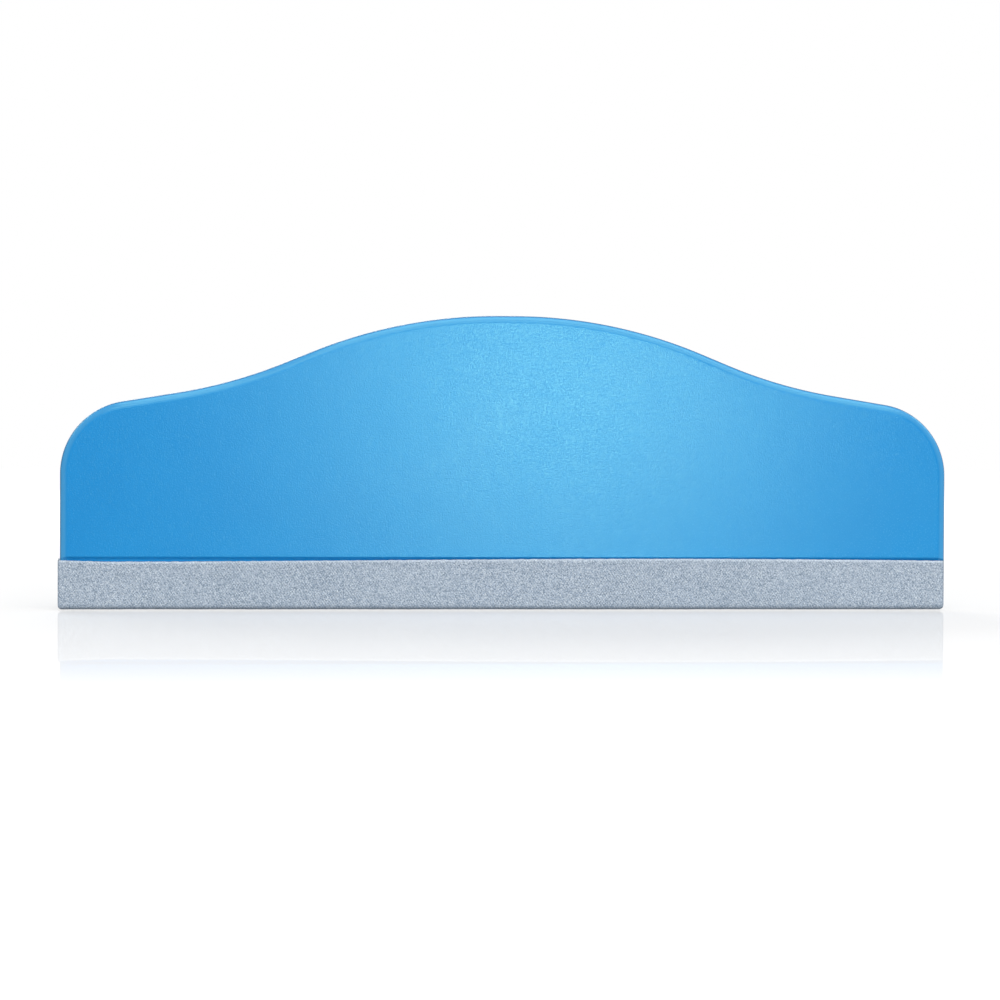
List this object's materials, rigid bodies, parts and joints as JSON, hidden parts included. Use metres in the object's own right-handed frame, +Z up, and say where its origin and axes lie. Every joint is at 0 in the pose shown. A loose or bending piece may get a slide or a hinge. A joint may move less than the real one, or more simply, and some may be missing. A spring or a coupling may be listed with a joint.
{
  "type": "felt-edge squeegee applicator",
  "caption": "Long flat plastic squeegee with a raised crown for the palm and a folded felt strip along its straight working edge, for smoothing down adhesive film.",
  "frame": {"origin": "middle of the underside of the felt, which is the working edge", "axes": "+X along the working edge, +Y through the thickness towards the back face, +Z up from the working edge to the crown"},
  "size_m": [0.3004, 0.0038, 0.0991],
  "materials": {
    "blade_plastic": "moulded blue plastic with a fine satin grain",
    "felt": "blue-grey short-nap felt",
    "adhesive": "thin milky double-sided tape"
  },
  "bodies": {
    "root": {"blade": "blade_plastic", "felt_edge": "felt", "adhesive_tape_front": "adhesive", "adhesive_tape_back": "adhesive"}
  },
  "joints": []
}
